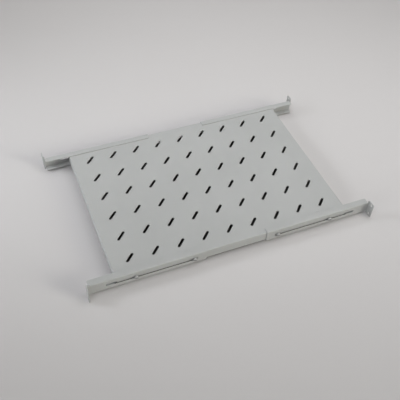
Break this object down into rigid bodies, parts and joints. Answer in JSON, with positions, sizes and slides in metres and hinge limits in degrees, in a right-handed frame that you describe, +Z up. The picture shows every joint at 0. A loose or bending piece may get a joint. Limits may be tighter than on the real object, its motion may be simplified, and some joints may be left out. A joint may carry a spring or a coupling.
{
  "type": "rack shelf",
  "caption": "Depth-adjustable rack shelf: folded steel panel with diagonal vent slots, carried in slotted slide brackets whose outward ears bolt to the rack's posts.",
  "frame": {"origin": "centre of the bounding box's underside, on the plane of the ears' lower edges", "axes": "+X along the rack's depth towards the rear, +Y across the rack to the left, +Z up"},
  "size_m": [0.758, 0.4826, 0.0436],
  "materials": {
    "powder_coat": "light grey powder coat with a fine grain, satin",
    "zinc": "zinc plating, dulled"
  },
  "bodies": {
    "shelf": {"shelf_panel": "powder_coat", "screw_front_left_inner": "zinc", "screw_front_left_outer": "zinc", "screw_front_right_inner": "zinc", "screw_front_right_outer": "zinc", "screw_rear_left_inner": "zinc", "screw_rear_left_outer": "zinc", "screw_rear_right_inner": "zinc", "screw_rear_right_outer": "zinc", "washer_front_left_inner": "zinc", "washer_front_left_outer": "zinc", "washer_front_right_inner": "zinc", "washer_front_right_outer": "zinc", "washer_rear_left_inner": "zinc", "washer_rear_left_outer": "zinc", "washer_rear_right_inner": "zinc", "washer_rear_right_outer": "zinc", "nut_front_left_inner": "zinc", "nut_front_left_outer": "zinc", "nut_front_right_inner": "zinc", "nut_front_right_outer": "zinc", "nut_rear_left_inner": "zinc", "nut_rear_left_outer": "zinc", "nut_rear_right_inner": "zinc", "nut_rear_right_outer": "zinc"},
    "slide_front_left": {"bracket_front_left": "powder_coat"},
    "slide_front_right": {"bracket_front_right": "powder_coat"},
    "slide_rear_left": {"bracket_rear_left": "powder_coat"},
    "slide_rear_right": {"bracket_rear_right": "powder_coat"}
  },
  "joints": [
    {"name": "front_left_slide", "type": "slide", "parent": "shelf", "child": "slide_front_left", "axis": [-1, 0, 0], "range_m": [-0.07, 0.0045]},
    {"name": "front_right_slide", "type": "slide", "parent": "shelf", "child": "slide_front_right", "axis": [-1, 0, 0], "range_m": [-0.07, 0.0045]},
    {"name": "rear_left_slide", "type": "slide", "parent": "shelf", "child": "slide_rear_left", "axis": [1, 0, 0], "range_m": [-0.07, 0.0045]},
    {"name": "rear_right_slide", "type": "slide", "parent": "shelf", "child": "slide_rear_right", "axis": [1, 0, 0], "range_m": [-0.07, 0.0045]}
  ]
}
